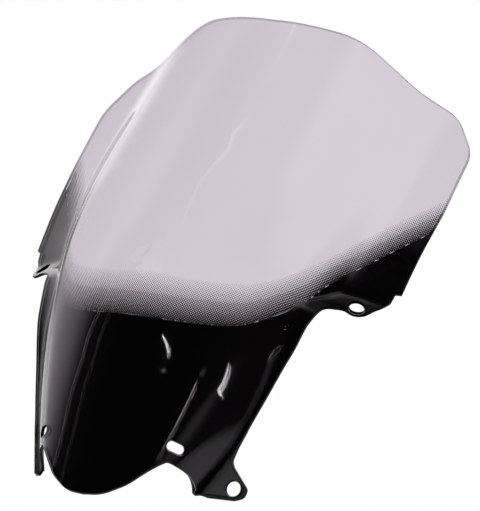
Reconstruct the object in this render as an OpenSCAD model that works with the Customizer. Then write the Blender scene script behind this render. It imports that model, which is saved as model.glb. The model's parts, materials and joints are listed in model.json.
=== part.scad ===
// Motorcycle windshield screen: one formed sheet with a printed lower mask.
// The sheet is drawn over a mould plane: x across, v up the mould line, w outwards.

/* [Frame] */
// slope of the mould line above the horizontal, degrees
rake = 50; // [44:1:56]
// height of the mould origin (level with the nose slots) above the lowest edge
origin_lift = 54.5; // [30:0.1:70]
// fore-aft place of the mould origin, from the middle of the bounding box
origin_back = -129.7; // [-170:0.1:-90]

/* [Sheet] */
// thickness of the acrylic sheet
sheet_t = 3; // [2.5:0.1:4]
// stand-in thickness of the printed films on the inner face
film_t = 0.3; // [0.2:0.05:0.5]

/* [Holes] */
// diameter of the two side tab holes
tab_hole_d = 14; // [10:0.5:15]
// distance of a side tab hole from the centre plane, mould x
tab_hole_x = 171.5; // [170:0.5:173]
// mould v of the side tab holes
tab_hole_v = 181; // [180:0.5:182]
// diameter of the two lower ear holes
ear_hole_d = 14; // [10:0.5:14]
// distance of an ear hole from the centre plane, mould x
ear_hole_x = 109.2; // [108.6:0.1:109.8]
// mould v of the ear holes
ear_hole_v = -7; // [-8:0.5:-6]
// end-to-end length of a nose slot
slot_len = 16.5; // [14:0.5:18]
// width of a nose slot
slot_w = 9; // [7:0.5:9.5]
// distance of a slot centre from the centre plane, mould x
slot_x = 72.2; // [71:0.1:73]
// mould v of the slot centres
slot_v = -1.5; // [-3:0.1:0]

/* [Step] */
// width of the step wall between the wings and the side tabs
joggle_w = 8; // [6:0.5:9]
// mould v of the step above the flange end
joggle_low = 187; // [186:0.5:188]
// how much higher the step runs at the wing tip
joggle_rise = 11; // [10:0.5:12]

/* [Arch] */
// length over which the crown arch eases into the wing
flare_len = 45; // [40:1:50]
// softness of that easing
flare_soft = 18; // [14:1:22]

/* [Flange] */
// softness of the valley between the bubble and the flange
shoulder_soft = 1.6; // [1.2:0.1:2]
// sideways slope of the lower ear plates
ear_slope = 1.937; // [1.9:0.001:1.96]
// upward slope of the lower ear plates
ear_climb = 0.839; // [0.82:0.001:0.86]
// mould w of the ear plate at the top of its fold
ear_level = -34.5; // [-34.8:0.1:-34.2]
// softness of the fold between flange and ear
fold_soft = 0.5; // [0.3:0.1:1]

/* [Hidden] */
// Sections up the mould line: v, crown height, arch radius, flare start, wing slope
sections = [
    [-120, -9.6, 126, 152, 0.62],
    [-60, 5.9, 128.5, 149.5, 0.60],
    [0, 20.9, 133.5, 146, 0.58],
    [60, 35.4, 142, 142, 0.56],
    [120, 47.6, 151, 138, 0.53],
    [180, 54, 157, 134.3, 0.515],
    [240, 51.2, 158, 132.2, 0.495],
    [300, 43.2, 154.5, 132, 0.455],
    [360, 34.2, 150.5, 132.7, 0.425],
    [420, 25.4, 147.7, 131.4, 0.455],
    [480, 17, 145, 130, 0.49]
];
// Step of the wing below the arch: v, x of its middle, its width, its drop
walls = [
    [-75, 120, 22, 0],
    [105, 122, 22, 0],
    [150, 129, 24, 7],
    [180, 137, 26, 12.5],
    [210, 143, 28, 11.5],
    [240, 147, 30, 9],
    [300, 151, 36, 5.5],
    [360, 146, 46, 2.2],
    [440, 130, 56, 0.5]
];
// Bubble shoulder: v, x where it meets the flange, x where it starts, its drop
shoulders = [
    [-75, 57, 39, 32],
    [-30, 79.3, 50.6, 26.4],
    [15, 98.6, 60, 20.7],
    [60, 114.5, 67.4, 15.1],
    [105, 126, 72.8, 9.5],
    [150, 133.5, 76.2, 3.9],
    [195, 137, 77.6, 0],
    [240, 138, 77, 0],
    [440, 138, 77, 0]
];
// the shoulder keeps falling this far past its foot, as a share of its width
shoulder_run = 1.3;
// Flange: v, level at flange_x, sideways slope. The run from 164 up is nearly straight, so
// the tab plates are close to flat.
flange_levels = [
    [-60, -53.2, 0.25],
    [-25, -47.2, 0.25],
    [21.7, -39.6, 0.25],
    [45.3, -33.3, 0.25],
    [77.4, -24.6, 0.25],
    [104, -16.8, 0.3],
    [132, -9.8, 0.4],
    [150, -5.9, 0.5],
    [164, -7.1, 0.5],
    [182, -16.8, 0.5],
    [200, -27.1, 0.5],
    [230, -44.2, 0.5]
];
// slopes of the flat tab plates, up the mould line and sideways
tab_fall = (17.1 / 30);
tab_slope = 0.5;
// x where the flange levels are given
flange_x = 130;
// the ear plate passes through ear_level at this x and v
ear_at_x = 109.8;
ear_at_v = 21.7;
// above ear_end_v the ear plane turns up and leaves the flange alone
ear_end_v = 40;
ear_release = 1.5;
// the step above the tabs starts to rise at this x and rises over this run
step_start_x = 140;
step_run = 55;
// half step for measuring slopes, and the steepest stretch of wall thickness allowed
probe = 0.5;
max_reach = 2.4;

// Half outline, top centre to bottom centre: x, v, corner radius
half_outline = [
    [0, 431.5, 0],
    [85, 435, 75],
    [140, 408.5, 90],
    [176, 398.5, 30],
    [201, 366, 35],
    [202.5, 300, 200],
    [198.5, 207.3, 1.5],
    [193.4, 206, 1],
    [192, 196.5, 3],
    [184, 184.5, 20],
    [178.5, 167, 9],
    [163.5, 172.3, 9],
    [150.3, 167.5, 9],
    [144, 145, 90],
    [139.5, 119, 120],
    [106.6, 11.2, 7],
    [115.2, 0.3, 4],
    [113.5, -7.6, 15],
    [107.8, -14.2, 12],
    [91, -26, 30],
    [83, -28.6, 2.5],
    [81, -15, 5],
    [67, -15.2, 5],
    [40, -46.3, 50],
    [19, -60.2, 40],
    [0, -62, 0]
];
// Lower edge of the fade band (top of the solid print): x, v
fade_low = [
    [0, 104.5], [45, 107], [90, 118.5], [112, 136], [130, 160.5],
    [142, 190.5], [152, 208.5], [200, 276.5], [212, 292]
];
// Upper edge of the fade band: x, v
fade_high = [
    [0, 146], [45, 147.5], [90, 158.5], [112, 175.5], [130, 198],
    [142, 222], [152, 244], [165, 266.5], [200, 315.5], [212, 331]
];

// rows and columns of the surface grid
rows = concat([for (v = [-70:8:-6]) v], [for (v = [4:12:172]) v],
    [for (v = [179:3:206]) v], [for (v = [218:14:428]) v], [440]);
crown_cols = 6;
wall_cols = 4;
foot_cols = 4;
wing_cols = 8;
grid_x = 212;
// the closely spaced columns reach this far inside and outside the bubble's foot
foot_inside = 8;
foot_outside = 8;

// ---- curves through stations ----
function seg(t, v, i = 0) = (i >= len(t) - 2 || v < t[i + 1][0]) ? i : seg(t, v, i + 1);
function slope_at(t, i, c) =
    let (a = max(i - 1, 0), b = min(i + 1, len(t) - 1))
    (t[b][c] - t[a][c]) / (t[b][0] - t[a][0]);
function curve(t, v, c = 1) =
    let (i = seg(t, v), h = t[i + 1][0] - t[i][0], u = (v - t[i][0]) / h,
         y0 = t[i][c], y1 = t[i + 1][c],
         m0 = slope_at(t, i, c) * h, m1 = slope_at(t, i + 1, c) * h)
    y0 * (1 + 2 * u) * (1 - u) * (1 - u) + m0 * u * (1 - u) * (1 - u)
        + y1 * u * u * (3 - 2 * u) - m1 * u * u * (1 - u);
function smooth_step(t) = let (u = min(max(t, 0), 1)) u * u * (3 - 2 * u);
function soft_max(a, b, s) = (a + b + sqrt((a - b) * (a - b) + 4 * s * s)) / 2;
function soft_ramp(x) = let (r = (x + sqrt(x * x + flare_soft * flare_soft)) / 2) r * r / 2;

// ---- the outer face, w over x and v (x taken on one side) ----
// crown arch that eases into a straight wing
function arch_w(x, v) =
    let (r = curve(sections, v, 2), start = curve(sections, v, 3),
         bend = (start / r - curve(sections, v, 4)) / flare_len)
    curve(sections, v, 1) - (x * x / (2 * r) - (1 / r + bend) * soft_ramp(x - start)
        + bend * soft_ramp(x - start - flare_len));
// arch with the step taken off the wing and the shoulder off the bubble's sides
function raised_w(x, v) =
    let (foot = curve(shoulders, v, 1), start = curve(shoulders, v, 2),
         share = min(max((x - start) / (foot - start), 0), shoulder_run))
    arch_w(x, v) - curve(shoulders, v, 3) * share * share * share
        - curve(walls, v, 3) * smooth_step((x - curve(walls, v, 1)) / curve(walls, v, 2) + 0.5);
// the flange with the ear plates folded down off its lower ends
function flange_w(x, v) =
    -soft_max(curve(flange_levels, v, 2) * (x - flange_x) - curve(flange_levels, v),
        ear_slope * (x - ear_at_x) - ear_climb * (v - ear_at_v) - ear_level
            - ear_release * max(v - ear_end_v, 0), fold_soft);
// 1 on the wings above the step, 0 below it
function wing_share(x, v) =
    let (step_v = joggle_low + joggle_rise * smooth_step((x - step_start_x) / step_run))
    smooth_step((v - step_v) / joggle_w + 0.5);
function face_w(x, v) =
    let (m = wing_share(x, v), up = m >= 1 ? 0 : soft_max(raised_w(x, v), flange_w(x, v), shoulder_soft))
    m <= 0 ? up : m >= 1 ? raised_w(x, v) : up * (1 - m) + raised_w(x, v) * m;
// how far along w one millimetre of wall thickness reaches
function reach(x, v) =
    let (x0 = max(x - probe, 0), x1 = x + probe,
         gx = (face_w(x1, v) - face_w(x0, v)) / (x1 - x0),
         gv = (face_w(x, v + probe) - face_w(x, v - probe)) / (2 * probe))
    min(sqrt(1 + gx * gx + gv * gv), max_reach);

// ---- grid and shell ----
function half_cols(v) =
    let (a = curve(shoulders, v, 2), b = curve(shoulders, v, 1) - foot_inside,
         c = b + foot_inside + foot_outside)
    concat([for (i = [0:crown_cols - 1]) a * i / crown_cols],
        [for (i = [0:wall_cols - 1]) a + (b - a) * i / wall_cols],
        [for (i = [0:foot_cols - 1]) b + (c - b) * i / foot_cols],
        [for (i = [0:wing_cols]) c + (grid_x - c) * i / wing_cols]);
function row_points(v, depth0, depth1) =
    let (xs = half_cols(v), n = len(xs),
         ws = [for (x = xs) face_w(x, v)], ks = [for (x = xs) reach(x, v)],
         order = concat([for (i = [n - 1:-1:1]) -i], [for (i = [0:n - 1]) i]))
    [for (d = [depth0, depth1])
        [for (i = order) [(i < 0 ? -1 : 1) * xs[abs(i)], v, ws[abs(i)] - d * ks[abs(i)]]]];

// a skin between two depths below the outer face, for rows v0 to v1
module skin(v0, v1, depth0, depth1) {
    used = [for (v = rows) if (v >= v0 && v <= v1) v];
    layers = [for (v = used) row_points(v, depth0, depth1)];
    nr = len(used);
    nc = len(layers[0][0]);
    pts = concat([for (r = layers) for (p = r[0]) p], [for (r = layers) for (p = r[1]) p]);
    under = nr * nc;
    faces = concat(
        [for (r = [0:nr - 2]) for (c = [0:nc - 2]) for (k = [0, 1])
            let (a = r * nc + c, b = a + 1, e = a + nc, f = e + 1)
            k == 0 ? [a, e, b] : [b, e, f]],
        [for (r = [0:nr - 2]) for (c = [0:nc - 2]) for (k = [0, 1])
            let (a = under + r * nc + c, b = a + 1, e = a + nc, f = e + 1)
            k == 0 ? [a, b, e] : [b, f, e]],
        [for (c = [0:nc - 2]) for (k = [0, 1])
            let (a = c, b = c + 1, e = a + under, f = b + under)
            k == 0 ? [a, b, e] : [b, f, e]],
        [for (c = [0:nc - 2]) for (k = [0, 1])
            let (a = (nr - 1) * nc + c, b = a + 1, e = a + under, f = b + under)
            k == 0 ? [a, e, b] : [b, e, f]],
        [for (r = [0:nr - 2]) for (k = [0, 1])
            let (a = r * nc, b = a + nc, e = a + under, f = b + under)
            k == 0 ? [a, e, b] : [b, e, f]],
        [for (r = [0:nr - 2]) for (k = [0, 1])
            let (a = r * nc + nc - 1, b = a + nc, e = a + under, f = b + under)
            k == 0 ? [a, b, e] : [b, f, e]]);
    polyhedron(points = pts, faces = faces, convexity = 8);
}

// ---- outlines in the mould plane ----
// points of one corner, rounded by a tangent arc
function corner(p, a, b) =
    p[2] == 0 ? [[p[0], p[1]]] :
    let (q = [p[0], p[1]], ua = unit([a[0], a[1]] - q), ub = unit([b[0], b[1]] - q),
         half = acos(ua * ub) / 2, reach_t = p[2] / tan(half),
         mid = q + unit(ua + ub) * p[2] / sin(half),
         t0 = q + ua * reach_t - mid, t1 = q + ub * reach_t - mid,
         a0 = atan2(t0[1], t0[0]), swing = turn(atan2(t1[1], t1[0]) - a0),
         n = max(2, ceil(abs(swing) / 12)))
    [for (i = [0:n]) mid + p[2] * [cos(a0 + swing * i / n), sin(a0 + swing * i / n)]];
function unit(p) = p / norm(p);
function turn(d) = d > 180 ? d - 360 : d < -180 ? d + 360 : d;
function rounded(t) =
    [for (i = [0:len(t) - 1]) for (q = corner(t[i], t[max(i - 1, 0)], t[min(i + 1, len(t) - 1)])) q];
function mirrored(h) = concat(h, [for (i = [len(h) - 1:-1:0]) if (h[i][0] > 0) [-h[i][0], h[i][1]]]);

module sheet_outline() {
    polygon(mirrored(rounded(half_outline)));
}

// everything below one of the fade band's edges
module below(edge) {
    n = 26;
    floor_v = -90;
    half = [for (i = [0:n]) [grid_x * i / n, curve(edge, grid_x * i / n)]];
    polygon(mirrored(concat(half, [[grid_x, floor_v], [0, floor_v]])));
}

// ---- openings ----
// turns +z to the outward normal of a face with these slopes in x and v
module facing(gx, gv) {
    tip = norm([gx, gv]);
    rotate([0, atan(tip), atan2(-gv, -gx)]) children();
}

// long enough to pass through the sheet and both films
cut_depth = 40;

module bore(x, v, gx, gv, d) {
    translate([x, v, flange_w(x, v)]) facing(gx, gv)
        cylinder(h = cut_depth, d = d, center = true, $fn = 64);
}

module nose_slot() {
    gx = (face_w(slot_x + probe, slot_v) - face_w(slot_x - probe, slot_v)) / (2 * probe);
    gv = (face_w(slot_x, slot_v + probe) - face_w(slot_x, slot_v - probe)) / (2 * probe);
    run = (slot_len - slot_w) / 2;
    translate([slot_x, slot_v, face_w(slot_x, slot_v)]) rotate([0, -atan(gx), 0]) {
        rotate([atan(gv * cos(atan(gx))), 0, 0]) {
            for (s = [-1, 1]) translate([s * run, 0, 0])
                cylinder(h = cut_depth, d = slot_w, center = true, $fn = 48);
            cube([2 * run, slot_w, cut_depth], center = true);
        }
    }
}

module openings() {
    for (s = [0, 1]) mirror([s, 0, 0]) {
        bore(tab_hole_x, tab_hole_v, -tab_slope, -tab_fall, tab_hole_d);
        bore(ear_hole_x, ear_hole_v, -ear_slope, ear_climb, ear_hole_d);
        nose_slot();
    }
}

module place() {
    translate([0, origin_back, origin_lift]) rotate([rake, 0, 0]) children();
}

// span along w that clears the whole surface
prism_low = -130;
prism_high = 90;

module prism() {
    translate([0, 0, prism_low]) linear_extrude(height = prism_high - prism_low, convexity = 8)
        children();
}

// ---- the pieces ----
module screen_sheet() {
    color([0.72, 0.70, 0.76, 0.5]) place() difference() {
        intersection() {
            skin(-80, 445, 0, sheet_t);
            prism() sheet_outline();
        }
        openings();
    }
}

module black_mask() {
    color([0.02, 0.02, 0.02]) place() difference() {
        intersection() {
            skin(-80, 305, sheet_t, sheet_t + film_t);
            prism() intersection() {
                sheet_outline();
                below(fade_low);
            }
        }
        openings();
    }
}

module fade_band() {
    color([0.3, 0.3, 0.32]) place() intersection() {
        skin(90, 330, sheet_t, sheet_t + film_t);
        prism() intersection() {
            sheet_outline();
            difference() {
                below(fade_high);
                below(fade_low);
            }
        }
    }
}

screen_sheet();
black_mask();
fade_band();
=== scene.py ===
"""Windshield screen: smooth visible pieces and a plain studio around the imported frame.

Shapes are worked out over the mould plane (x across, v up the mould line, w outwards, in mm)
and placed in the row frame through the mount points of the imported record.
"""
import json
import math

import bpy
import numpy as np
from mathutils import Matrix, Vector
from mathutils.geometry import delaunay_2d_cdt


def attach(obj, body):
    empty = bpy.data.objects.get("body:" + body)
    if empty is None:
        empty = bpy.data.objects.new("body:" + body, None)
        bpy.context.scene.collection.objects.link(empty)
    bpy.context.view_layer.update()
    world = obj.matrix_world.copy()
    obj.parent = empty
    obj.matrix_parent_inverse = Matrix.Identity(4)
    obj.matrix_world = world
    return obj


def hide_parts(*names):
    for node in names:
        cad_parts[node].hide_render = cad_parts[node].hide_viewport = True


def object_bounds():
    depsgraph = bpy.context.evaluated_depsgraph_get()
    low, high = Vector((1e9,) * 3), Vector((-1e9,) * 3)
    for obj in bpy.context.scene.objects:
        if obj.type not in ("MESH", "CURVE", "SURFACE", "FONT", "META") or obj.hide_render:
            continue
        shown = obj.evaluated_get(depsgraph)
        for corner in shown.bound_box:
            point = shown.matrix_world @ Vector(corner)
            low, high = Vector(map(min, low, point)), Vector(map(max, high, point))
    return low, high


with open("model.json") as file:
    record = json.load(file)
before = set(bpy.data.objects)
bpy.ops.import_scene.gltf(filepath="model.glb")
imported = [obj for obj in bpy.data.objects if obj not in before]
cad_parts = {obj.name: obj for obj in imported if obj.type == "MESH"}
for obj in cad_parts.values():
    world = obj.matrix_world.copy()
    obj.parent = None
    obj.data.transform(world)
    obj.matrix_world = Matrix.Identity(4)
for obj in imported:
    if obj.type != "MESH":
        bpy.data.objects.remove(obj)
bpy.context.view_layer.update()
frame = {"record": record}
MM = 0.001

# ---- the mould surface ----
RAKE = math.radians(50)
# v, crown height, arch radius, flare start, wing slope
SECTIONS = np.array([
    [-120, -9.6, 126, 152, 0.62], [-60, 5.9, 128.5, 149.5, 0.60], [0, 20.9, 133.5, 146, 0.58],
    [60, 35.4, 142, 142, 0.56], [120, 47.6, 151, 138, 0.53], [180, 54, 157, 134.3, 0.515],
    [240, 51.2, 158, 132.2, 0.495], [300, 43.2, 154.5, 132, 0.455], [360, 34.2, 150.5, 132.7, 0.425],
    [420, 25.4, 147.7, 131.4, 0.455], [480, 17, 145, 130, 0.49]])
# v, x of the wing step, its width, drop of the wing below the arch
WALLS = np.array([
    [-75, 120, 22, 0], [105, 122, 22, 0], [150, 129, 24, 7], [180, 137, 26, 12.5],
    [210, 143, 28, 11.5], [240, 147, 30, 9], [300, 151, 36, 5.5], [360, 146, 46, 2.2],
    [440, 130, 56, 0.5]])
# v, x where the bubble meets the flange, x where its shoulder starts, shoulder drop
SHOULDERS = np.array([
    [-75, 57, 39, 32], [-30, 79.3, 50.6, 26.4], [15, 98.6, 60, 20.7], [60, 114.5, 67.4, 15.1],
    [105, 126, 72.8, 9.5], [150, 133.5, 76.2, 3.9], [195, 137, 77.6, 0], [240, 138, 77, 0],
    [440, 138, 77, 0]])
SHOULDER_SOFT = 1.6
SHOULDER_RUN = 1.3  # the shoulder's curve runs on this far past the bubble's foot
# v, flange level at FLANGE_X, its sideways slope
FLANGE_LEVELS = np.array([
    [-60, -53.2, 0.25], [-25, -47.2, 0.25], [21.7, -39.6, 0.25], [45.3, -33.3, 0.25],
    [77.4, -24.6, 0.25], [104, -16.8, 0.3], [132, -9.8, 0.4], [150, -5.9, 0.5],
    [164, -7.1, 0.5], [182, -16.8, 0.5], [200, -27.1, 0.5], [230, -44.2, 0.5]])
FLARE_LEN, FLARE_SOFT = 45, 18
FLANGE_X = 130
# the folded ear's plane: its level at (EAR_AT, EAR_AT_V), its slopes across and up, and
# the height above which it is let go
EAR_AT, EAR_LEVEL, EAR_SLOPE, EAR_CLIMB = 109.8, -34.5, 1.937, 0.839
EAR_AT_V, EAR_END_V, EAR_RELEASE = 21.7, 40, 1.5
FOLD_SOFT = 0.5
JOGGLE_W, JOGGLE_LOW, JOGGLE_RISE, STEP_START_X, STEP_RUN = 8, 187, 11, 140, 55
SHEET_T = 3.0
MAX_REACH = 2.4
# half outline, top centre to bottom centre: x, v, corner radius
HALF_OUTLINE = [
    (0, 431.5, 0), (85, 435, 75), (140, 408.5, 90), (176, 398.5, 30), (201, 366, 35),
    (202.5, 300, 200), (198.5, 207.3, 1.5), (193.4, 206, 1), (192, 196.5, 3),
    (184, 184.5, 20), (178.5, 167, 9), (163.5, 172.3, 9), (150.3, 167.5, 9), (144, 145, 90),
    (139.5, 119, 120), (106.6, 11.2, 7), (115.2, 0.3, 4), (113.5, -7.6, 15),
    (107.8, -14.2, 12), (91, -26, 30), (83, -28.6, 2.5), (81, -15, 5),
    (67, -15.2, 5), (40, -46.3, 50), (19, -60.2, 40), (0, -62, 0)]
# x, v of the fade band's lower and upper edges
FADE_LOW = np.array([
    [0, 104.5], [45, 107], [90, 118.5], [112, 136], [130, 160.5], [142, 190.5],
    [152, 208.5], [200, 276.5], [212, 292]])
FADE_HIGH = np.array([
    [0, 146], [45, 147.5], [90, 158.5], [112, 175.5], [130, 198], [142, 222],
    [152, 244], [165, 266.5], [200, 315.5], [212, 331]])
# x, v and radius of the holes; x, v, length and width of the slot
TAB_HOLE = (171.5, 181, 7.0)
EAR_HOLE = (109.2, -7.0, 7.0)
SLOT = (72.2, -1.5, 16.5, 9.0)


def hermite(table, v, c=1):
    """The CAD source's curve through stations."""
    v = np.asarray(v, float)
    t, y = table[:, 0], table[:, c]
    i = np.clip(np.searchsorted(t, v, side="right") - 1, 0, len(t) - 2)
    slopes = np.empty(len(t))
    slopes[1:-1] = (y[2:] - y[:-2]) / (t[2:] - t[:-2])
    slopes[0] = (y[1] - y[0]) / (t[1] - t[0])
    slopes[-1] = (y[-1] - y[-2]) / (t[-1] - t[-2])
    h = t[i + 1] - t[i]
    u = (v - t[i]) / h
    return (y[i] * (1 + 2 * u) * (1 - u) ** 2 + slopes[i] * h * u * (1 - u) ** 2
            + y[i + 1] * u * u * (3 - 2 * u) - slopes[i + 1] * h * u * u * (1 - u))


def smooth_step(t):
    u = np.clip(t, 0, 1)
    return u * u * (3 - 2 * u)


def soft_max(a, b, s):
    return (a + b + np.sqrt((a - b) ** 2 + 4 * s * s)) / 2


def soft_ramp(x):
    r = (x + np.sqrt(x * x + FLARE_SOFT ** 2)) / 2
    return r * r / 2


def arch_w(x, v):
    r, start = hermite(SECTIONS, v, 2), hermite(SECTIONS, v, 3)
    bend = (start / r - hermite(SECTIONS, v, 4)) / FLARE_LEN
    return hermite(SECTIONS, v, 1) - (
        x * x / (2 * r) - (1 / r + bend) * soft_ramp(x - start)
        + bend * soft_ramp(x - start - FLARE_LEN))


def raised_w(x, v):
    across = (x - hermite(WALLS, v, 1)) / hermite(WALLS, v, 2)
    step = hermite(WALLS, v, 3) * smooth_step(across + 0.5)
    foot, start = hermite(SHOULDERS, v, 1), hermite(SHOULDERS, v, 2)
    share = np.clip((x - start) / (foot - start), 0, SHOULDER_RUN)
    return arch_w(x, v) - step - hermite(SHOULDERS, v, 3) * share ** 3


def flange_w(x, v):
    plate = hermite(FLANGE_LEVELS, v) - hermite(FLANGE_LEVELS, v, 2) * (x - FLANGE_X)
    ear = (EAR_LEVEL - EAR_SLOPE * (x - EAR_AT) + EAR_CLIMB * (v - EAR_AT_V)
           + EAR_RELEASE * np.maximum(v - EAR_END_V, 0))
    return -soft_max(-plate, -ear, FOLD_SOFT)


def wing_share(x, v):
    step_v = JOGGLE_LOW + JOGGLE_RISE * smooth_step((x - STEP_START_X) / STEP_RUN)
    return smooth_step((v - step_v) / JOGGLE_W + 0.5)


def face_w(x, v):
    x = np.abs(x)
    m, up = wing_share(x, v), raised_w(x, v)
    return soft_max(up, flange_w(x, v), SHOULDER_SOFT) * (1 - m) + up * m


def slopes(x, v, h=0.4):
    return ((face_w(x + h, v) - face_w(x - h, v)) / (2 * h),
            (face_w(x, v + h) - face_w(x, v - h)) / (2 * h))


# ---- mould frame to row frame ----
MOUNTS = {m["name"]: m for m in frame["record"]["mounts"]}


def turn(p):
    """Mould axes to row axes, without the shift."""
    c, s = math.cos(RAKE), math.sin(RAKE)
    return np.stack([p[..., 0], p[..., 1] * c - p[..., 2] * s, p[..., 1] * s + p[..., 2] * c], -1)


def mould_origin():
    """Row-frame place of the mould origin, from the tab and ear mounts on both sides."""
    shifts = []
    for name, (x, v, _) in (("side_tab_hole", TAB_HOLE), ("lower_ear_hole", EAR_HOLE)):
        for side, sign in (("left", 1), ("right", -1)):
            mount = MOUNTS[f"{name}_{side}"]
            gx, gv = slopes(np.array(float(x)), np.array(float(v)))
            n = np.array([-gx, -gv, 1.0])
            n /= np.linalg.norm(n)
            local = np.array([x, v, float(face_w(x, v))]) - n * mount["dims"]["length_mm"] / 2
            local[0] *= sign
            shifts.append(np.array(mount["pos_m"]) / MM - turn(local))
    shifts = np.array(shifts)
    print("mould origin", shifts.mean(0).round(2), "spread", np.ptp(shifts, axis=0).round(2))
    return shifts.mean(0)


def to_row(p):
    return (turn(np.asarray(p, float)) + ORIGIN) * MM


# ---- outline ----
def unit(p):
    return p / np.linalg.norm(p)


def round_corner(p, a, b, step):
    q = np.array(p[:2], float)
    if p[2] == 0:
        return [q]
    ua, ub = unit(np.array(a[:2]) - q), unit(np.array(b[:2]) - q)
    half = math.acos(float(ua @ ub)) / 2
    reach = p[2] / math.tan(half)
    mid = q + unit(ua + ub) * p[2] / math.sin(half)
    t0, t1 = q + ua * reach - mid, q + ub * reach - mid
    a0 = math.atan2(t0[1], t0[0])
    swing = (math.atan2(t1[1], t1[0]) - a0 + math.pi) % (2 * math.pi) - math.pi
    n = max(4, math.ceil(abs(swing) * p[2] / step))
    return [mid + p[2] * np.array([math.cos(a0 + swing * i / n), math.sin(a0 + swing * i / n)])
            for i in range(n + 1)]


def half_outline(step=2.4):
    """Evenly filled half outline from the top centre down to the bottom centre."""
    t = HALF_OUTLINE
    pts = []
    for i, p in enumerate(t):
        pts += round_corner(p, t[max(i - 1, 0)], t[min(i + 1, len(t) - 1)], step)
    out = [pts[0]]
    for p in pts[1:]:
        d = np.linalg.norm(p - out[-1])
        if d < 0.12:
            continue
        n = max(1, math.ceil(d / step))
        out += [out[-1] + (p - out[-1]) * (k / n) for k in range(1, n + 1)]
    return on_axis(np.array(out))


def on_axis(line):
    """The half outline with both its ends put on x = 0."""
    line[0, 0] = line[-1, 0] = 0
    return line


def outward(line):
    """Outward unit normals of the clockwise half outline, square to x = 0 at its ends."""
    d = np.empty_like(line)
    d[1:-1] = line[2:] - line[:-2]
    d[0], d[-1] = line[1] - line[0], line[-1] - line[-2]
    d /= np.linalg.norm(d, axis=1, keepdims=True)
    n = np.stack([-d[:, 1], d[:, 0]], 1)
    n[0], n[-1] = (0, 1), (0, -1)
    return n


def inside(poly, pts):
    """Even-odd test of points against a closed polygon."""
    x, y = pts[:, 0][:, None], pts[:, 1][:, None]
    a, b = poly, np.roll(poly, -1, axis=0)
    crosses = (a[:, 1] > y) != (b[:, 1] > y)
    with np.errstate(divide="ignore", invalid="ignore"):
        at = a[:, 0] + (y - a[:, 1]) * (b[:, 0] - a[:, 0]) / (b[:, 1] - a[:, 1])
    return (np.sum(crosses & (x < at), axis=1) % 2) == 1


def poly_distance(poly, pts):
    """Distance from points to the nearest vertex of a finely cut line."""
    batch = 4000
    parts = [np.linalg.norm(pts[k:k + batch, None] - poly[None], axis=2).min(1)
             for k in range(0, len(pts), batch)]
    return np.concatenate(parts)


# ---- openings: rings in the tangent plane of the sheet ----
def opening_shapes():
    """For each opening on the +x side: its centre (x, v), its ring and the way out of it."""
    turns = np.linspace(0, 2 * math.pi, 49)[:-1]
    circle = np.stack([np.cos(turns), np.sin(turns)], 1)
    run = (SLOT[2] - SLOT[3]) / 2
    obround = circle * SLOT[3] / 2 + np.sign(np.round(circle[:, :1], 6)) * np.array([[run, 0]])
    return [(TAB_HOLE[:2], circle * TAB_HOLE[2], circle),
            (EAR_HOLE[:2], circle * EAR_HOLE[2], circle),
            (SLOT[:2], obround, circle)]


EDGE_R = 0.5  # rounding of every cut edge
RIM_ANGLES = np.radians([22, 45, 68, 90])


class Opening:
    """The rings of one opening, from the outer skin through the bore to the inner skin."""

    def __init__(self, centre, ring, out):
        x, v = centre
        gx, gv = (float(g) for g in slopes(np.array(float(x)), np.array(float(v))))
        self.centre = np.array([x, v, float(face_w(x, v))])
        self.n = unit(np.array([-gx, -gv, 1.0]))
        self.e1 = unit(np.array([1.0, 0.0, gx]))
        self.e2 = np.cross(self.n, self.e1)
        self.ring, self.out = ring, out

    def at(self, grow, depth):
        """3-D ring: grown by `grow` mm, `depth` mm below the tangent plane."""
        r = self.ring + self.out * grow
        return self.centre + r[:, :1] * self.e1 + r[:, 1:] * self.e2 - depth * self.n

    def skin_ring(self, grow, inner):
        return self.at(grow, SHEET_T if inner else 0.0)[:, :2]

    def bore_rings(self):
        """Ring points from the outer skin to the inner skin, with softened lips."""
        rings, normals = [], []
        radial = self.out[:, :1] * self.e1 + self.out[:, 1:] * self.e2
        top = (skin_point(self.skin_ring(EDGE_R, False), 0.0) - self.centre) @ self.n
        low = (skin_point(self.skin_ring(EDGE_R, True), SHEET_T) - self.centre) @ self.n
        for level, sign, angles in ((top, 1, RIM_ANGLES), (low, -1, RIM_ANGLES[::-1])):
            for a in angles:
                drop = level - sign * EDGE_R * (1 - math.cos(a))
                rings.append(self.at(EDGE_R * (1 - math.sin(a)), 0) + np.outer(drop, self.n))
                normals.append(self.n * math.cos(a) * sign - radial * math.sin(a))
        return rings, normals


def reach_of(x, v):
    """Depth along w that makes the sheet 1 mm thick square to its face, up to MAX_REACH."""
    gx, gv = slopes(x, v)
    return np.minimum(np.sqrt(1 + gx * gx + gv * gv), MAX_REACH)


def skin_point(xv, depth):
    x, v = xv[:, 0], xv[:, 1]
    w = face_w(x, v) - depth * reach_of(x, v)
    return np.stack([x, v, w], 1)


def skin_normal(xv):
    gx, gv = slopes(xv[:, 0], xv[:, 1])
    n = np.stack([-gx, -gv, np.ones_like(gx)], 1)
    return n / np.linalg.norm(n, axis=1, keepdims=True)


# ---- half-domain triangulation ----
COARSE, FINE = 3.0, 1.3
BEND_LIMIT = 0.018  # change of slope per mm above which the points are fine
HALF_WIDTH = 206


def rows_of_points(poly, spacing, rise, first_v, starts):
    """Staggered rows of points over the half outline; starts are their first x, by turns."""
    pts = []
    v0, v1 = poly[:, 1].min(), poly[:, 1].max()
    for k, v in enumerate(np.arange(v0 + first_v, v1, rise)):
        xs = np.arange(starts[k % 2], HALF_WIDTH, spacing)
        pts.append(np.stack([xs, np.full_like(xs, v)], 1))
    return np.concatenate(pts)


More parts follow.
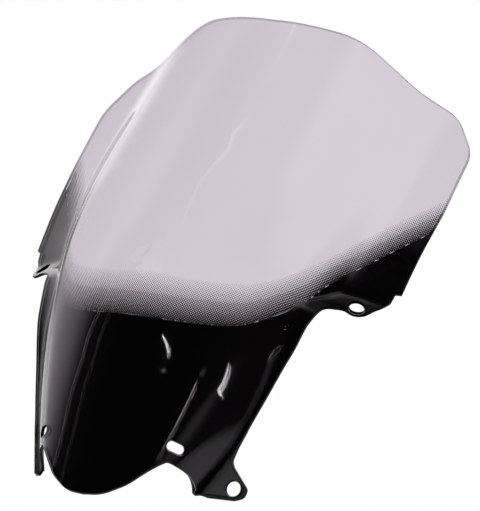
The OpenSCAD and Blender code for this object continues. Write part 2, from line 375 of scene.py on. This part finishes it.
def fill_points(poly):
    """Interior points, closer together where the surface bends hard."""
    coarse = rows_of_points(poly, COARSE, COARSE * 0.866, COARSE, (COARSE, COARSE / 2))
    fine = rows_of_points(poly, FINE, FINE, 1, (FINE, FINE / 2))
    return np.concatenate([coarse[bending(coarse) <= BEND_LIMIT], fine[bending(fine) > BEND_LIMIT]])


def bending(pts, h=1.2):
    """Change of slope per mm, in x and in v."""
    x, v = pts[:, 0], pts[:, 1]
    w = face_w(x, v)
    return np.maximum(np.abs(face_w(x + h, v) + face_w(x - h, v) - 2 * w),
                      np.abs(face_w(x, v + h) + face_w(x, v - h) - 2 * w)) / h / h


def outside_all(holes, pts):
    out = np.ones(len(pts), bool)
    for h in holes:
        out &= ~inside(h, pts)
    return out


def loop_edges(loops):
    """Edges round each loop and each loop's first row, for loops listed one after another."""
    edges, firsts, start = [], [], 0
    for loop in loops:
        n = len(loop)
        firsts.append(start)
        edges += [(start + i, start + (i + 1) % n) for i in range(n)]
        start += n
    return edges, firsts


def triangulate(boundary, holes, inner_pts, clear=0.9):
    """Triangles of the closed boundary without the holes. Returns points, triangles and the
    rows of the boundary and hole rings in the point list."""
    loops = [boundary] + holes
    keep = inside(boundary, inner_pts) & (poly_distance(np.concatenate(loops), inner_pts) > clear)
    keep &= (inner_pts[:, 0] > clear * 0.6) & outside_all(holes, inner_pts)
    pts = np.concatenate(loops + [inner_pts[keep]])
    edges, firsts = loop_edges(loops)
    found, _, faces, origins = delaunay_2d_cdt([Vector(p) for p in pts], edges, [], 0, 1e-6)[:4]
    xv = np.array([tuple(p) for p in found])
    tris = np.array([f for f in faces if len(f) == 3])
    mid = xv[tris].mean(1)
    tris = tris[inside(boundary, mid) & outside_all(holes, mid)]
    a, b, c = xv[tris[:, 0]], xv[tris[:, 1]], xv[tris[:, 2]]
    area = (b[:, 0] - a[:, 0]) * (c[:, 1] - a[:, 1]) - (b[:, 1] - a[:, 1]) * (c[:, 0] - a[:, 0])
    flip = area < 0
    tris[flip] = tris[flip][:, ::-1]
    tris = tris[np.abs(area) > 1e-9]
    back = {old: new for new, olds in enumerate(origins) for old in olds}
    rows = [np.array([back[first + i] for i in range(len(loop))]) for first, loop in zip(firsts, loops)]
    return xv, tris, rows


class Shell:
    """Collects vertices, normals and faces of one closed piece, half by half."""

    def __init__(self):
        self.co, self.no, self.faces, self.mats = [], [], [], []

    def add(self, pts, normals):
        start = sum(len(c) for c in self.co)
        self.co.append(pts)
        self.no.append(normals)
        return start

    def skin(self, pts, tris, normals, down):
        start = self.add(pts, -normals if down else normals)
        t = tris[:, ::-1] if down else tris
        self.faces += (t + start).tolist()
        self.mats += [0] * len(t)
        return start

    def strip(self, ring_a, ring_b, closed, flip):
        """Quads between two rings given as vertex numbers."""
        n = len(ring_a)
        for i in range(n if closed else n - 1):
            j = (i + 1) % n
            q = [ring_a[i], ring_b[i], ring_b[j], ring_a[j]]
            self.faces.append(q[::-1] if flip else q)
            self.mats.append(1)

    def mesh(self, name):
        """The piece with its mirrored half; points on x = 0 are shared."""
        co, no = np.concatenate(self.co), np.concatenate(self.no)
        n = len(co)
        beside = np.abs(co[:, 0]) >= 1e-6
        mirror_row = np.where(beside, n + np.cumsum(beside) - 1, np.arange(n))
        co2, no2 = co[beside] * [-1, 1, 1], no[beside] * [-1, 1, 1]
        faces = self.faces + [[int(mirror_row[i]) for i in f[::-1]] for f in self.faces]
        return build_mesh(name, np.concatenate([co, co2]), np.concatenate([no, no2]),
                          faces, self.mats + self.mats)


def place_mesh(name, co, faces):
    """A linked object from points in the mould frame."""
    mesh = bpy.data.meshes.new(name)
    mesh.from_pydata(to_row(co).tolist(), [], faces)
    mesh.update()
    obj = bpy.data.objects.new(name, mesh)
    bpy.context.scene.collection.objects.link(obj)
    return obj


def build_mesh(name, co, no, faces, mats):
    """A smooth piece with its own normals, materials by face and the ink cover at each point."""
    obj = place_mesh(name, co, faces)
    mesh = obj.data
    mesh.polygons.foreach_set("material_index", np.array(mats, np.int32))
    mesh.polygons.foreach_set("use_smooth", np.ones(len(faces), bool))
    n = turn(no)
    n /= np.linalg.norm(n, axis=1, keepdims=True)
    mesh.normals_split_custom_set_from_vertices(n.tolist())
    inked = mesh.attributes.new("inked", "FLOAT", "POINT")
    inked.data.foreach_set("value", ink_cover(co[:, :2]).astype(np.float32))
    return obj


def closed_half(line):
    """Half outline closed along x = 0, with points on the axis every few mm."""
    gap, end_gap = 2.5, 1.2
    axis = np.arange(line[-1, 1] + gap, line[0, 1] - end_gap, gap)
    return np.concatenate([line, np.stack([np.zeros_like(axis), axis], 1)])


# ---- the acrylic sheet ----
def outline_rim(shell, line, out):
    """Rows of the rounded rim along the outline, from the outer skin to the inner skin."""
    tangent = np.gradient(skin_point(line, 0.0), axis=0)
    n_up = skin_normal(line)
    side = np.cross(tangent, n_up)
    side /= np.linalg.norm(side, axis=1, keepdims=True)
    side = on_axis(side * np.sign(np.sum(side[:, :2] * out, axis=1, keepdims=True)))
    profile = [(EDGE_R * (1 - math.sin(a)), EDGE_R * (1 - math.cos(a)), a, 1) for a in RIM_ANGLES]
    profile += [(g, SHEET_T - d, a, -1) for g, d, a, _ in reversed(profile)]
    rows = []
    for grow, depth, a, sign in profile:
        normals = n_up * (math.cos(a) * sign) + side * math.sin(a)
        points = skin_point(on_axis(line - out * grow), depth)
        rows.append(shell.add(points, normals) + np.arange(len(line)))
    return rows


def make_sheet():
    line = half_outline()
    out = outward(line)
    openings = [Opening(*s) for s in opening_shapes()]
    boundary = closed_half(on_axis(line - out * EDGE_R))
    points = fill_points(line)
    shell = Shell()
    skins = []
    for inner in (False, True):
        holes = [o.skin_ring(EDGE_R, inner) for o in openings]
        xv, tris, rows = triangulate(boundary, holes, points)
        start = shell.skin(skin_point(xv, SHEET_T if inner else 0.0), tris, skin_normal(xv), inner)
        skins.append([start + r for r in rows])
    outer, inner = skins
    n = len(line)
    chain = [outer[0][:n]] + outline_rim(shell, line, out) + [inner[0][:n]]
    for a, b in zip(chain, chain[1:]):
        shell.strip(a, b, False, True)
    for k, opening in enumerate(openings, 1):
        bore = [shell.add(p, no) + np.arange(len(p)) for p, no in zip(*opening.bore_rings())]
        chain = [outer[k]] + bore + [inner[k]]
        for a, b in zip(chain, chain[1:]):
            shell.strip(a, b, True, False)
    return shell.mesh("acrylic_sheet")


# ---- printed layers ----
INK_GAP, INK_T = 0.03, 0.12
PRINT_MARGIN = EDGE_R + 0.15  # from the cut edges to the print


def ink_cover(xv):
    """1 over the solid print, 0 above the fade band."""
    return 1 - np.clip(band_height(xv), 0, 1)


def band_height(xv):
    """0 on the fade band's lower edge, 1 on its upper edge."""
    x = np.abs(xv[..., 0])
    lo, hi = hermite(FADE_LOW, x), hermite(FADE_HIGH, x)
    return (xv[..., 1] - lo) / (hi - lo)


def below_band(xv):
    return xv[..., 1] < hermite(FADE_LOW, np.abs(xv[..., 0]))


def mask_boundary(line, out):
    """The half outline drawn in a little and cut off at the fade band's lower edge."""
    inset = on_axis(line - out * PRINT_MARGIN)
    first = int(np.argmax(below_band(inset)))
    above, low = inset[first - 1], inset[first]
    for _ in range(30):
        mid = (above + low) / 2
        if below_band(mid):
            low = mid
        else:
            above = mid
    xs = np.arange(0, low[0] - 1.0, 1.6)
    edge = np.stack([xs, hermite(FADE_LOW, xs)], 1)
    return np.concatenate([edge, low[None], inset[first + 1:]])


def make_mask():
    line = half_outline()
    loop = mask_boundary(line, outward(line))
    openings = [Opening(*s) for s in opening_shapes()]
    holes = [o.skin_ring(PRINT_MARGIN, True) for o in openings]
    xv, tris, rows = triangulate(closed_half(loop), holes, fill_points(line))
    n_up = skin_normal(xv)
    shell = Shell()
    near = SHEET_T + INK_GAP
    a = shell.skin(skin_point(xv, near), tris, n_up, False)
    b = shell.skin(skin_point(xv, near + INK_T), tris, n_up, True)
    for k, r in enumerate(rows):
        closed = k > 0
        r = r if closed else r[:len(loop)]
        shell.strip(a + r, b + r, closed, not closed)
    shell.mats = [0] * len(shell.mats)
    return shell.mesh("black_print")


# ---- the dotted fade band ----
PITCH = 1.75
STEP = PITCH / math.sqrt(2)  # the lattice is turned 45 degrees
NET_SHARE = 0.5  # clear share at which the net gives way to separate dots
DOT_OVERLAP = 0.08
DOT_T = 0.08
BAND_DEPTH = SHEET_T + INK_GAP + 0.01


def arc_maps():
    """x and the arc length across the sheet to it, to lay the band out flat."""
    xs = np.linspace(0, FADE_LOW[-1, 0], 425)
    mid_v = (hermite(FADE_LOW, xs) + hermite(FADE_HIGH, xs)) / 2
    gx, _ = slopes(xs, mid_v)
    dx = np.diff(xs)
    run = np.hypot(dx, dx * (gx[1:] + gx[:-1]) / 2)
    return xs, np.concatenate([[0], np.cumsum(run)])


def clear_share(t):
    """Share of the band that stays clear, from its lower edge (t = 0) to its upper (t = 1)."""
    return 0.04 + 0.90 * np.clip(t, 0, 1) ** 1.1


def lay_down(s, y, xs, across):
    """Sheet x and v of a point of the band laid out flat."""
    return np.stack([np.sign(s) * np.interp(np.abs(s), across, xs), y], -1)


def lattice(odd, xs, across, edge):
    """Grid numbers and band heights of one half of the 45 degree lattice."""
    reach = int(across[-1] / STEP) + 1
    ii, jj = np.meshgrid(np.arange(-reach, reach + 1),
                         np.arange(int(100 / STEP), int(FADE_HIGH[-1, 1] / STEP) + 1))
    pick = (ii + jj) % 2 == odd
    ii, jj = ii[pick], jj[pick]
    xv = lay_down(ii * STEP, jj * STEP, xs, across)
    t = band_height(xv)
    ok = (t > -0.01) & (t < 1) & inside(edge, xv)
    ii, jj, xv, t = ii[ok], jj[ok], xv[ok], t[ok]
    ok = poly_distance(edge, xv) > PITCH * 0.75
    return ii[ok], jj[ok], t[ok]


def net_cells(ii, jj, t):
    """Square cells set on their corners, each with a round clear hole: the corners, the
    cells, the rings of the holes and the corners with a cell on all four sides."""
    r = PITCH * np.sqrt(clear_share(t) / math.pi)
    turns = np.arange(8) * math.pi / 4
    ring = np.stack([ii[:, None] * STEP + r[:, None] * np.cos(turns),
                     jj[:, None] * STEP + r[:, None] * np.sin(turns)], -1)
    number, used, cells = {}, {}, []
    for i, j in zip(ii.tolist(), jj.tolist()):
        keys = [(i + 1, j), (i, j + 1), (i - 1, j), (i, j - 1)]
        for key in keys:
            number.setdefault(key, len(number))
            used[key] = used.get(key, 0) + 1
        cells.append([number[key] for key in keys])
    corners = np.array(list(number)) * STEP
    full = {key for key, n in used.items() if n == 4}
    return corners, cells, ring.reshape(-1, 2), full


def net_faces(cells, first_ring):
    """Faces between each cell's corners and its hole, and the edges that need a wall."""
    faces, walls, edges = [], [], {}
    for k, cell in enumerate(cells):
        m = [first_ring + 8 * k + j for j in range(8)]
        for s in range(4):
            c0, c1 = cell[s], cell[(s + 1) % 4]
            m0, m1, m2 = m[2 * s], m[2 * s + 1], m[(2 * s + 2) % 8]
            faces += [(c0, m1, m0), (c0, c1, m1), (c1, m2, m1)]
            walls += [(m0, m1), (m1, m2)]
            key = (min(c0, c1), max(c0, c1))
            edges[key] = (edges.get(key, (0,))[0] + 1, (c0, c1))
    return faces, walls + [(b, a) for n, (a, b) in edges.values() if n == 1]


def dot(i, j, t):
    """Ring of one separate dot."""
    rho = PITCH * math.sqrt((1 - float(clear_share(t))) / math.pi)
    n = 8 if rho > 0.28 * PITCH else 6
    turns = np.arange(n) * 2 * math.pi / n
    return np.stack([i * STEP + rho * np.cos(turns), j * STEP + rho * np.sin(turns)], 1)


def make_band():
    """A net with round holes low down and separate dots, on its free corners, higher up."""
    line = half_outline()
    inset = line - outward(line) * PRINT_MARGIN
    edge = np.concatenate([inset, inset[::-1] * [-1, 1]])
    xs, across = arc_maps()
    ii, jj, t = lattice(0, xs, across, edge)
    net = clear_share(t) < NET_SHARE
    corners, cells, rings, taken = net_cells(ii[net], jj[net], t[net])
    faces, walls = net_faces(cells, len(corners))
    flat, start = [corners, rings], len(corners) + len(rings)
    ii, jj, t = lattice(1, xs, across, edge)
    free = clear_share(t) >= NET_SHARE - DOT_OVERLAP
    for i, j, height in zip(ii[free].tolist(), jj[free].tolist(), t[free].tolist()):
        if (i, j) in taken:
            continue
        flat.append(dot(i, j, height))
        n = len(flat[-1])
        faces.append(tuple(range(start, start + n)))
        walls += [(start + (k + 1) % n, start + k) for k in range(n)]
        start += n
    flat = np.concatenate(flat)
    xv = lay_down(flat[:, 0], flat[:, 1], xs, across)
    n = len(flat)
    faces += [tuple(i + n for i in f[::-1]) for f in faces] + [(b, a, a + n, b + n) for a, b in walls]
    print("fade band:", len(cells), "holes,", sum(len(f) - 2 for f in faces), "triangles")
    points = np.concatenate([skin_point(xv, BAND_DEPTH), skin_point(xv, BAND_DEPTH + DOT_T)])
    return place_mesh("dotted_fade_band", points, faces)


# ---- materials ----
def new_material(name):
    mat = bpy.data.materials.new(name)
    mat.use_nodes = True
    tree = mat.node_tree
    tree.nodes.clear()
    out = tree.nodes.new("ShaderNodeOutputMaterial")
    return mat, tree, out


def node(tree, kind, **values):
    n = tree.nodes.new(kind)
    for key, value in values.items():
        if key in n.inputs:
            n.inputs[key].default_value = value
        else:
            setattr(n, key, value)
    return n


def maths(tree, operation, a, b=None, c=None, clamp=False):
    n = tree.nodes.new("ShaderNodeMath")
    n.operation = operation
    n.use_clamp = clamp
    for k, value in enumerate((a, b, c)):
        if value is None:
            continue
        if isinstance(value, (int, float)):
            n.inputs[k].default_value = value
        else:
            tree.links.new(value, n.inputs[k])
    return n.outputs[0]


def noise(tree, scale, detail=3.0, rough=0.5):
    coords = tree.nodes.new("ShaderNodeTexCoord").outputs["Object"]
    n = node(tree, "ShaderNodeTexNoise", Scale=scale, Detail=detail, Roughness=rough)
    tree.links.new(coords, n.inputs["Vector"])
    return n.outputs["Fac"]


def bump(tree, height, distance, strength):
    b = node(tree, "ShaderNodeBump", Strength=strength, Distance=distance)
    tree.links.new(height, b.inputs["Height"])
    return b.outputs["Normal"]


ACRYLIC_IOR = 1.49
F0 = ((ACRYLIC_IOR - 1) / (ACRYLIC_IOR + 1)) ** 2
TINT = (0.700, 0.634, 0.711)


def mix_shaders(tree, share, first, second, out):
    mix = tree.nodes.new("ShaderNodeMixShader")
    tree.links.new(share, mix.inputs[0])
    tree.links.new(first.outputs[0], mix.inputs[1])
    tree.links.new(second.outputs[0], mix.inputs[2])
    tree.links.new(mix.outputs[0], out.inputs["Surface"])


def mix_colours(tree, share, first, second):
    """Colour node mixing two colours, each an RGB triple or a socket."""
    mix = node(tree, "ShaderNodeMix", data_type="RGBA")
    tree.links.new(share, mix.inputs[0])
    for socket, colour in ((6, first), (7, second)):
        if isinstance(colour, tuple):
            mix.inputs[socket].default_value = (*colour, 1)
        else:
            tree.links.new(colour, mix.inputs[socket])
    return mix.outputs[2]


def facing(tree):
    """Cosine between the view and the surface normal, from either side."""
    geo = tree.nodes.new("ShaderNodeNewGeometry")
    dot = node(tree, "ShaderNodeVectorMath", operation="DOT_PRODUCT")
    tree.links.new(geo.outputs["Normal"], dot.inputs[0])
    tree.links.new(geo.outputs["Incoming"], dot.inputs[1])
    return maths(tree, "ABSOLUTE", dot.outputs["Value"], clamp=True)


def acrylic_material(name):
    """Smoke acrylic face: the tint deepens with the slant of the path through the sheet, and
    the gloss follows Fresnel."""
    mat, tree, out = new_material(name)
    cos = facing(tree)
    sin2 = maths(tree, "SUBTRACT", 1.0, maths(tree, "MULTIPLY", cos, cos))
    inner_sin2 = maths(tree, "DIVIDE", sin2, ACRYLIC_IOR ** 2)
    inner_cos = maths(tree, "SQRT", maths(tree, "SUBTRACT", 1.0, inner_sin2))
    forming = maths(tree, "MULTIPLY_ADD", noise(tree, 5.0, 2.0), 0.10, 0.45)
    path = maths(tree, "DIVIDE", forming, inner_cos)
    colour = tree.nodes.new("ShaderNodeCombineColor")
    for k, t in enumerate(TINT):
        tree.links.new(maths(tree, "POWER", t, path), colour.inputs[k])
    clear = tree.nodes.new("ShaderNodeBsdfTransparent")
    tree.links.new(colour.outputs[0], clear.inputs["Color"])
    slant = maths(tree, "POWER", maths(tree, "SUBTRACT", 1.0, cos), 5.0)
    fresnel = maths(tree, "MULTIPLY_ADD", slant, 1 - F0, F0)
    haze = maths(tree, "MULTIPLY_ADD", noise(tree, 90.0, 4.0, 0.6), 0.02, 0.012)
    gloss = node(tree, "ShaderNodeBsdfGlossy", Color=(1, 1, 1, 1))
    tree.links.new(haze, gloss.inputs["Roughness"])
    tree.links.new(bump(tree, noise(tree, 14.0, 1.0), 0.0004, 0.25), gloss.inputs["Normal"])
    mix_shaders(tree, fresnel, clear, gloss, out)
    return mat


def edge_material():
    """Flame-polished cut edge: a pale lilac colour with random tone is painted on it for the light that
    the clear part of the sheet pipes into the edge, and it shows the ink through where the sheet is
    printed."""
    mat, tree, out = new_material("acrylic_edge")
    inked = node(tree, "ShaderNodeAttribute", attribute_name="inked").outputs["Fac"]
    clear = node(tree, "ShaderNodeBsdfTransparent", Color=(0.74, 0.69, 0.78, 1))
    body = node(tree, "ShaderNodeBsdfPrincipled", Roughness=0.3)
    tree.links.new(maths(tree, "MULTIPLY_ADD", inked, -0.42, 0.5), body.inputs["Specular IOR Level"])
    # painted light: the pale lilac edge colour stands in for light piped in from the clear sheet
    painted_edge_glow = mix_colours(tree, noise(tree, 260.0, 3.0), (0.42, 0.38, 0.46), (0.56, 0.52, 0.60))
    tree.links.new(mix_colours(tree, inked, painted_edge_glow, (0.004, 0.004, 0.005)), body.inputs["Base Color"])
    tree.links.new(bump(tree, noise(tree, 900.0, 2.0, 0.6), 0.0001, 0.5), body.inputs["Normal"])
    solid = maths(tree, "MULTIPLY_ADD", inked, 0.6, 0.4)
    mix_shaders(tree, solid, clear, body, out)
    return mat


def ink_material(name, tone):
    """Screen-printed black ink: a satin film with a fine mesh mark and slight tone drift."""
    mat, tree, out = new_material(name)
    body = node(tree, "ShaderNodeBsdfPrincipled")
    low = (tone * 0.7, tone * 0.7, tone * 0.68)
    high = (tone * 1.3, tone * 1.25, tone * 1.2)
    tree.links.new(mix_colours(tree, noise(tree, 35.0, 4.0, 0.6), low, high), body.inputs["Base Color"])
    satin = maths(tree, "MULTIPLY_ADD", noise(tree, 220.0, 3.0), 0.16, 0.30)
    tree.links.new(satin, body.inputs["Roughness"])
    body.inputs["Specular IOR Level"].default_value = 0.35
    tree.links.new(bump(tree, noise(tree, 1400.0, 2.0), 0.00003, 0.4), body.inputs["Normal"])
    tree.links.new(body.outputs[0], out.inputs["Surface"])
    return mat


# ---- studio ----
CAM_AZ, CAM_EL, CAM_FAR = math.radians(34.0), math.radians(10.16), 18.0
VIEW_HEIGHT = 0.4599  # metres up the picture at the object
AIM_RIGHT, AIM_UP = 0.1176, 0.1637  # picture centre from the mould origin, metres


def camera_axes():
    ca, sa, ce, se = math.cos(CAM_AZ), math.sin(CAM_AZ), math.cos(CAM_EL), math.sin(CAM_EL)
    back = Vector((sa * ce, -ca * ce, se))
    right = Vector((ca, sa, 0))
    up = Vector((-sa * se, ca * se, ce))
    return back, right, up


def make_camera():
    back, right, up = camera_axes()
    target = Vector(ORIGIN * MM) + right * AIM_RIGHT + up * AIM_UP
    data = bpy.data.cameras.new("camera")
    data.sensor_width = 36
    data.lens = data.sensor_width * CAM_FAR / VIEW_HEIGHT
    data.clip_start, data.clip_end = 1, 200
    cam = bpy.data.objects.new("camera", data)
    cam.location = target + back * CAM_FAR
    cam.rotation_mode = "QUATERNION"
    cam.rotation_quaternion = (-back).to_track_quat("-Z", "Y")
    bpy.context.scene.collection.objects.link(cam)
    bpy.context.scene.camera = cam


def step_between(tree, value, lo, hi):
    n = node(tree, "ShaderNodeMapRange", interpolation_type="SMOOTHSTEP")
    n.inputs["From Min"].default_value, n.inputs["From Max"].default_value = lo, hi
    tree.links.new(value, n.inputs["Value"])
    return n.outputs["Result"]


def product(tree, *factors):
    out = factors[0]
    for f in factors[1:]:
        out = maths(tree, "MULTIPLY", out, f)
    return out


def directions(tree):
    """Turn from the front in degrees, positive to +x, and the upward part of the direction."""
    coords = tree.nodes.new("ShaderNodeTexCoord")
    split = tree.nodes.new("ShaderNodeSeparateXYZ")
    tree.links.new(coords.outputs["Generated"], split.inputs[0])
    x, y, z = split.outputs
    front = maths(tree, "ARCTAN2", x, maths(tree, "MULTIPLY", y, -1.0))
    return maths(tree, "MULTIPLY", front, 180 / math.pi), z


BACKDROP, BACKDROP_BEHIND, WINDOW, PANEL, CEILING, ROOM = 0.66, 0.6, 0.7, 0.2, 0.10, 0.004


def reflected_room(tree):
    """Brightness of the room: a backdrop behind and to the left, a large soft window high on
    the right, a low panel in front and a dim ceiling."""
    turn_from_front, z = directions(tree)

    def across(lo, hi):
        return step_between(tree, turn_from_front, lo, hi)

    def up(lo, hi):
        return step_between(tree, z, lo, hi)

    sides = maths(tree, "MAXIMUM", across(-72.0, -92.0), across(125.0, 150.0))
    strength = maths(tree, "MULTIPLY_ADD", across(-121.0, -134.0), BACKDROP_BEHIND, BACKDROP)
    level = product(tree, sides, up(0.85, 0.55), strength)
    level = maths(tree, "ADD", level, maths(tree, "MULTIPLY_ADD", up(0.89, 0.95), CEILING, ROOM))
    window = product(tree, across(44.0, 66.0), across(135.0, 110.0), up(0.60, 0.76), up(0.985, 0.96))
    level = maths(tree, "MULTIPLY_ADD", window, WINDOW, level)
    leaning = step_between(tree, maths(tree, "MULTIPLY_ADD", z, 28.6, turn_from_front), 66.0, 61.0)
    panel = product(tree, leaning, across(22.0, 38.0), up(0.42, 0.34))
    return maths(tree, "MULTIPLY_ADD", panel, PANEL, level)


def make_world():
    """White to the camera; the room above for everything reflected."""
    world = bpy.data.worlds.new("studio")
    world.use_nodes = True
    bpy.context.scene.world = world
    tree = world.node_tree
    tree.nodes.clear()
    out = tree.nodes.new("ShaderNodeOutputWorld")
    room = node(tree, "ShaderNodeBackground", Color=(1, 0.98, 0.98, 1))
    tree.links.new(reflected_room(tree), room.inputs["Strength"])
    white = node(tree, "ShaderNodeBackground", Color=(1, 1, 1, 1), Strength=1.0)
    seen = tree.nodes.new("ShaderNodeLightPath").outputs["Is Camera Ray"]
    mix_shaders(tree, seen, room, white, out)


# glow of the floor in reflections, behind and in front; the lower front level is painted shade
FLOOR_BACK, FLOOR_FRONT = 1.0, 0.42
FLOOR_R, FLOOR_GAP = 8.0, 0.0015


def floor_disc():
    lo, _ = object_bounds()
    mesh = bpy.data.meshes.new("floor")
    n = 64
    turns = [2 * math.pi * k / n for k in range(n)]
    verts = [(0, 0, 0)] + [(FLOOR_R * math.cos(a), FLOOR_R * math.sin(a), 0) for a in turns]
    mesh.from_pydata(verts, [], [(0, 1 + k, 1 + (k + 1) % n) for k in range(n)])
    floor = bpy.data.objects.new("floor", mesh)
    floor.location.z = lo.z - FLOOR_GAP
    bpy.context.scene.collection.objects.link(floor)
    return floor


def floor_painted_shade(tree):
    """Painted shade on the glowing floor, seen only in reflections: darker towards the front and right,
    dark far to the right.
    """
    coords = tree.nodes.new("ShaderNodeTexCoord")
    split = tree.nodes.new("ShaderNodeSeparateXYZ")
    tree.links.new(coords.outputs["Object"], split.inputs[0])
    x, y, _ = split.outputs
    shade = step_between(tree, maths(tree, "SUBTRACT", x, y), -0.3, 0.4)
    level = maths(tree, "MULTIPLY_ADD", shade, FLOOR_FRONT - FLOOR_BACK, FLOOR_BACK)
    beyond = step_between(tree, maths(tree, "MULTIPLY_ADD", x, 0.44, y), 0.0, 0.09)
    dark = maths(tree, "MULTIPLY", step_between(tree, x, 0.15, 0.3), beyond)
    return maths(tree, "MULTIPLY", level, maths(tree, "SUBTRACT", 1.0, dark))


def make_floor():
    """Pale paper glowing evenly to the camera; in reflections on the screen its glow carries painted
    shade, set apart.
    """
    floor = floor_disc()
    mat, tree, out = new_material("floor_paper")
    level = node(tree, "ShaderNodeMix", data_type="FLOAT")
    tree.links.new(tree.nodes.new("ShaderNodeLightPath").outputs["Is Camera Ray"], level.inputs[0])
    tree.links.new(floor_painted_shade(tree), level.inputs[2])
    grain = maths(tree, "MULTIPLY_ADD", noise(tree, 3.0, 2.0), 0.012, 0.985)
    tree.links.new(grain, level.inputs[3])
    glow = node(tree, "ShaderNodeEmission", Color=(1, 1, 0.997, 1))
    tree.links.new(level.outputs[0], glow.inputs["Strength"])
    paper = node(tree, "ShaderNodeBsdfDiffuse", Color=(0.02, 0.02, 0.02, 1))
    add = tree.nodes.new("ShaderNodeAddShader")
    tree.links.new(glow.outputs[0], add.inputs[0])
    tree.links.new(paper.outputs[0], add.inputs[1])
    tree.links.new(add.outputs[0], out.inputs["Surface"])
    floor.data.materials.append(mat)


def toward(azimuth, elevation):
    """Direction at this turn from the front, positive to +x, and this height, in degrees."""
    a, e = math.radians(azimuth), math.radians(elevation)
    return Vector((math.sin(a) * math.cos(e), -math.cos(a) * math.cos(e), math.sin(e)))


LIGHTS_AROUND, LIGHTS_FAR = Vector((0, -0.05, 0.15)), 20.0


def strip_corners(path, half_width):
    """Corner pairs along a strip through these turns and heights, tapered at both ends."""
    path = [toward(*p) for p in path]
    fine = []
    for a, b in zip(path, path[1:]):
        fine += [a.slerp(b, k / 6) for k in range(6)]
    fine.append(path[-1])
    verts = []
    for k, d in enumerate(fine):
        along = (fine[min(k + 1, len(fine) - 1)] - fine[max(k - 1, 0)]).normalized()
        side = d.cross(along).normalized() * math.tan(math.radians(half_width))
        taper = math.sin(math.pi * (0.06 + 0.88 * k / (len(fine) - 1))) ** 0.5
        verts += [tuple(LIGHTS_AROUND + (d + side * taper * s) * LIGHTS_FAR) for s in (-1, 1)]
    return verts


def light_strip(name, path, half_width, strength, colour=(1, 1, 1)):
    """A glowing strip a long way off, seen only in reflections. Angles are in degrees."""
    verts = strip_corners(path, half_width)
    mesh = bpy.data.meshes.new(name)
    mesh.from_pydata(verts, [], [(k, k + 1, k + 3, k + 2) for k in range(0, len(verts) - 2, 2)])
    strip = bpy.data.objects.new(name, mesh)
    bpy.context.scene.collection.objects.link(strip)
    mat, tree, out = new_material(name)
    glow = node(tree, "ShaderNodeEmission", Color=(*colour, 1))
    uneven = maths(tree, "MULTIPLY_ADD", noise(tree, 2.0, 1.0), strength * 0.4, strength * 0.8)
    tree.links.new(uneven, glow.inputs["Strength"])
    tree.links.new(glow.outputs[0], out.inputs["Surface"])
    mesh.materials.append(mat)
    strip.visible_camera = strip.visible_diffuse = strip.visible_shadow = False
    strip.visible_transmission = False


def make_lights():
    light_strip("backdrop_seam", [(-58, 72), (-63, 68), (-58, 64), (-44, 60)], 0.4, 1.3)
    light_strip("backdrop_fold", [(-69, 33), (-72, 25), (-76, 17)], 0.2, 1.6)
    light_strip("stand_edge", [(-58, 40), (-62, 30), (-66, 20)], 0.15, 1.0, (1, 0.92, 0.84))
    light_strip("window_gap", [(-8, 40.2), (2, 38.8)], 0.1, 14)
    light_strip("lamp_edge", [(49, 25), (54, 20), (59, 15)], 0.13, 14)
    light_strip("warm_card", [(28, 29.5), (28.5, 31.5), (29.5, 33.8)], 0.3, 11, (1, 0.86, 0.8))


# ---- build ----
ORIGIN = mould_origin()

sheet = make_sheet()
mask = make_mask()
band = make_band()
sheet.data.materials.append(acrylic_material("tinted_acrylic"))
sheet.data.materials.append(edge_material())
mask.data.materials.append(ink_material("black_print", 0.005))
band.data.materials.append(ink_material("dotted_print", 0.006))
for piece, cad, slot in ((sheet, "screen_sheet", "tinted_acrylic"),
                         (mask, "black_mask", "black_print"),
                         (band, "fade_band", "dotted_print")):
    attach(piece, "root")
    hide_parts(cad)

make_floor()
make_world()
make_lights()
make_camera()
bpy.context.scene.view_settings.view_transform = "Standard"
bpy.context.scene.cycles.transparent_max_bounces = 16
